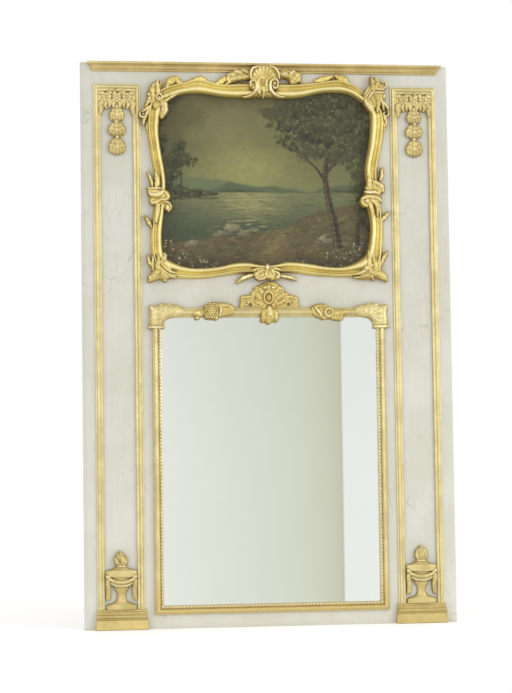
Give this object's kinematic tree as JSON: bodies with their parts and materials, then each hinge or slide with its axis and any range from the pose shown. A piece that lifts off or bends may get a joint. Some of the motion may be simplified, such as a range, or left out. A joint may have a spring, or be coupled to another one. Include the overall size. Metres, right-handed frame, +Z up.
{
  "type": "trumeau mirror",
  "caption": "Tall painted panel with a gilt cornice, pilasters with urns and husk drops, a shaped carved frame around a landscape on canvas, and a mirror below.",
  "frame": {"origin": "bottom centre of the whole object's box; the panel's front face is at y = +2 mm", "axes": "+X to the right as seen from the front, -Y out of the front, +Y to the wall, +Z up"},
  "size_m": [1.225, 0.084, 1.85],
  "materials": {
    "paint": "warm off-white brushed paint, slightly worn",
    "gilt": "rubbed and toned gilding over carved wood",
    "raw_wood": "aged unfinished softwood",
    "canvas": "oil on primed linen, varnished",
    "mirror": "silvered plate glass",
    "steel": "dulled steel",
    "brass": "aged brass"
  },
  "bodies": {
    "frame": {"left_outer_stile": "paint", "right_outer_stile": "paint", "left_inner_stile": "paint", "right_inner_stile": "paint", "top_rail": "paint", "middle_rail": "paint", "bottom_rail": "paint", "left_pilaster_panel": "paint", "right_pilaster_panel": "paint", "left_plinth": "gilt", "right_plinth": "gilt", "cornice": "gilt", "left_pilaster_frame": "gilt", "right_pilaster_frame": "gilt", "left_pilaster_base": "gilt", "right_pilaster_base": "gilt", "left_urn": "gilt", "right_urn": "gilt", "left_husk_drop": "gilt", "right_husk_drop": "gilt", "painting_frame_top": "gilt", "painting_frame_left": "gilt", "painting_frame_right": "gilt", "painting_frame_bottom": "gilt", "corner_top_left": "gilt", "corner_top_right": "gilt", "corner_bottom_left": "gilt", "corner_bottom_right": "gilt", "side_scroll_left": "gilt", "side_scroll_right": "gilt", "bottom_scroll": "gilt", "crest_shell": "gilt", "crest_sprays": "gilt", "mirror_frame_top": "gilt", "mirror_frame_left": "gilt", "mirror_frame_right": "gilt", "mirror_frame_bottom": "gilt", "corner_sleeve_left": "gilt", "corner_sleeve_right": "gilt", "flower_clasp_left": "gilt", "flower_clasp_right": "gilt", "shell_clasp": "gilt", "pierced_crest": "gilt", "mirror_glass": "mirror", "mirror_back_boards": "raw_wood", "painting_canvas": "canvas", "stretcher": "raw_wood", "stretcher_keys": "raw_wood", "top_batten": "raw_wood", "middle_batten": "raw_wood", "bottom_batten": "raw_wood", "fixing_screws": "steel", "left_hanger_plate": "brass", "right_hanger_plate": "brass"},
    "left_ring": {"left_hanger_ring": "brass"},
    "right_ring": {"right_hanger_ring": "brass"},
    "upper_left_button": {"turn_button_upper_left": "brass"},
    "lower_left_button": {"turn_button_lower_left": "brass"},
    "upper_right_button": {"turn_button_upper_right": "brass"},
    "lower_right_button": {"turn_button_lower_right": "brass"}
  },
  "joints": [
    {"name": "left_ring_swing", "type": "hinge", "parent": "frame", "child": "left_ring", "pos_m": [-0.5845, 0.0302, 1.716], "axis": [1, 0, 0], "range_deg": [0, 180]},
    {"name": "right_ring_swing", "type": "hinge", "parent": "frame", "child": "right_ring", "pos_m": [0.5845, 0.0302, 1.716], "axis": [1, 0, 0], "range_deg": [0, 180]},
    {"name": "upper_left_button_turn", "type": "hinge", "parent": "frame", "child": "upper_left_button", "pos_m": [-0.398, 0.0264, 1.66], "axis": [0, 1, 0], "range_deg": [-90, 90]},
    {"name": "upper_right_button_turn", "type": "hinge", "parent": "frame", "child": "upper_right_button", "pos_m": [0.398, 0.0264, 1.66], "axis": [0, 1, 0], "range_deg": [-90, 90]},
    {"name": "lower_left_button_turn", "type": "hinge", "parent": "frame", "child": "lower_left_button", "pos_m": [-0.398, 0.0264, 1.29], "axis": [0, 1, 0], "range_deg": [-90, 90]},
    {"name": "lower_right_button_turn", "type": "hinge", "parent": "frame", "child": "lower_right_button", "pos_m": [0.398, 0.0264, 1.29], "axis": [0, 1, 0], "range_deg": [-90, 90]}
  ]
}
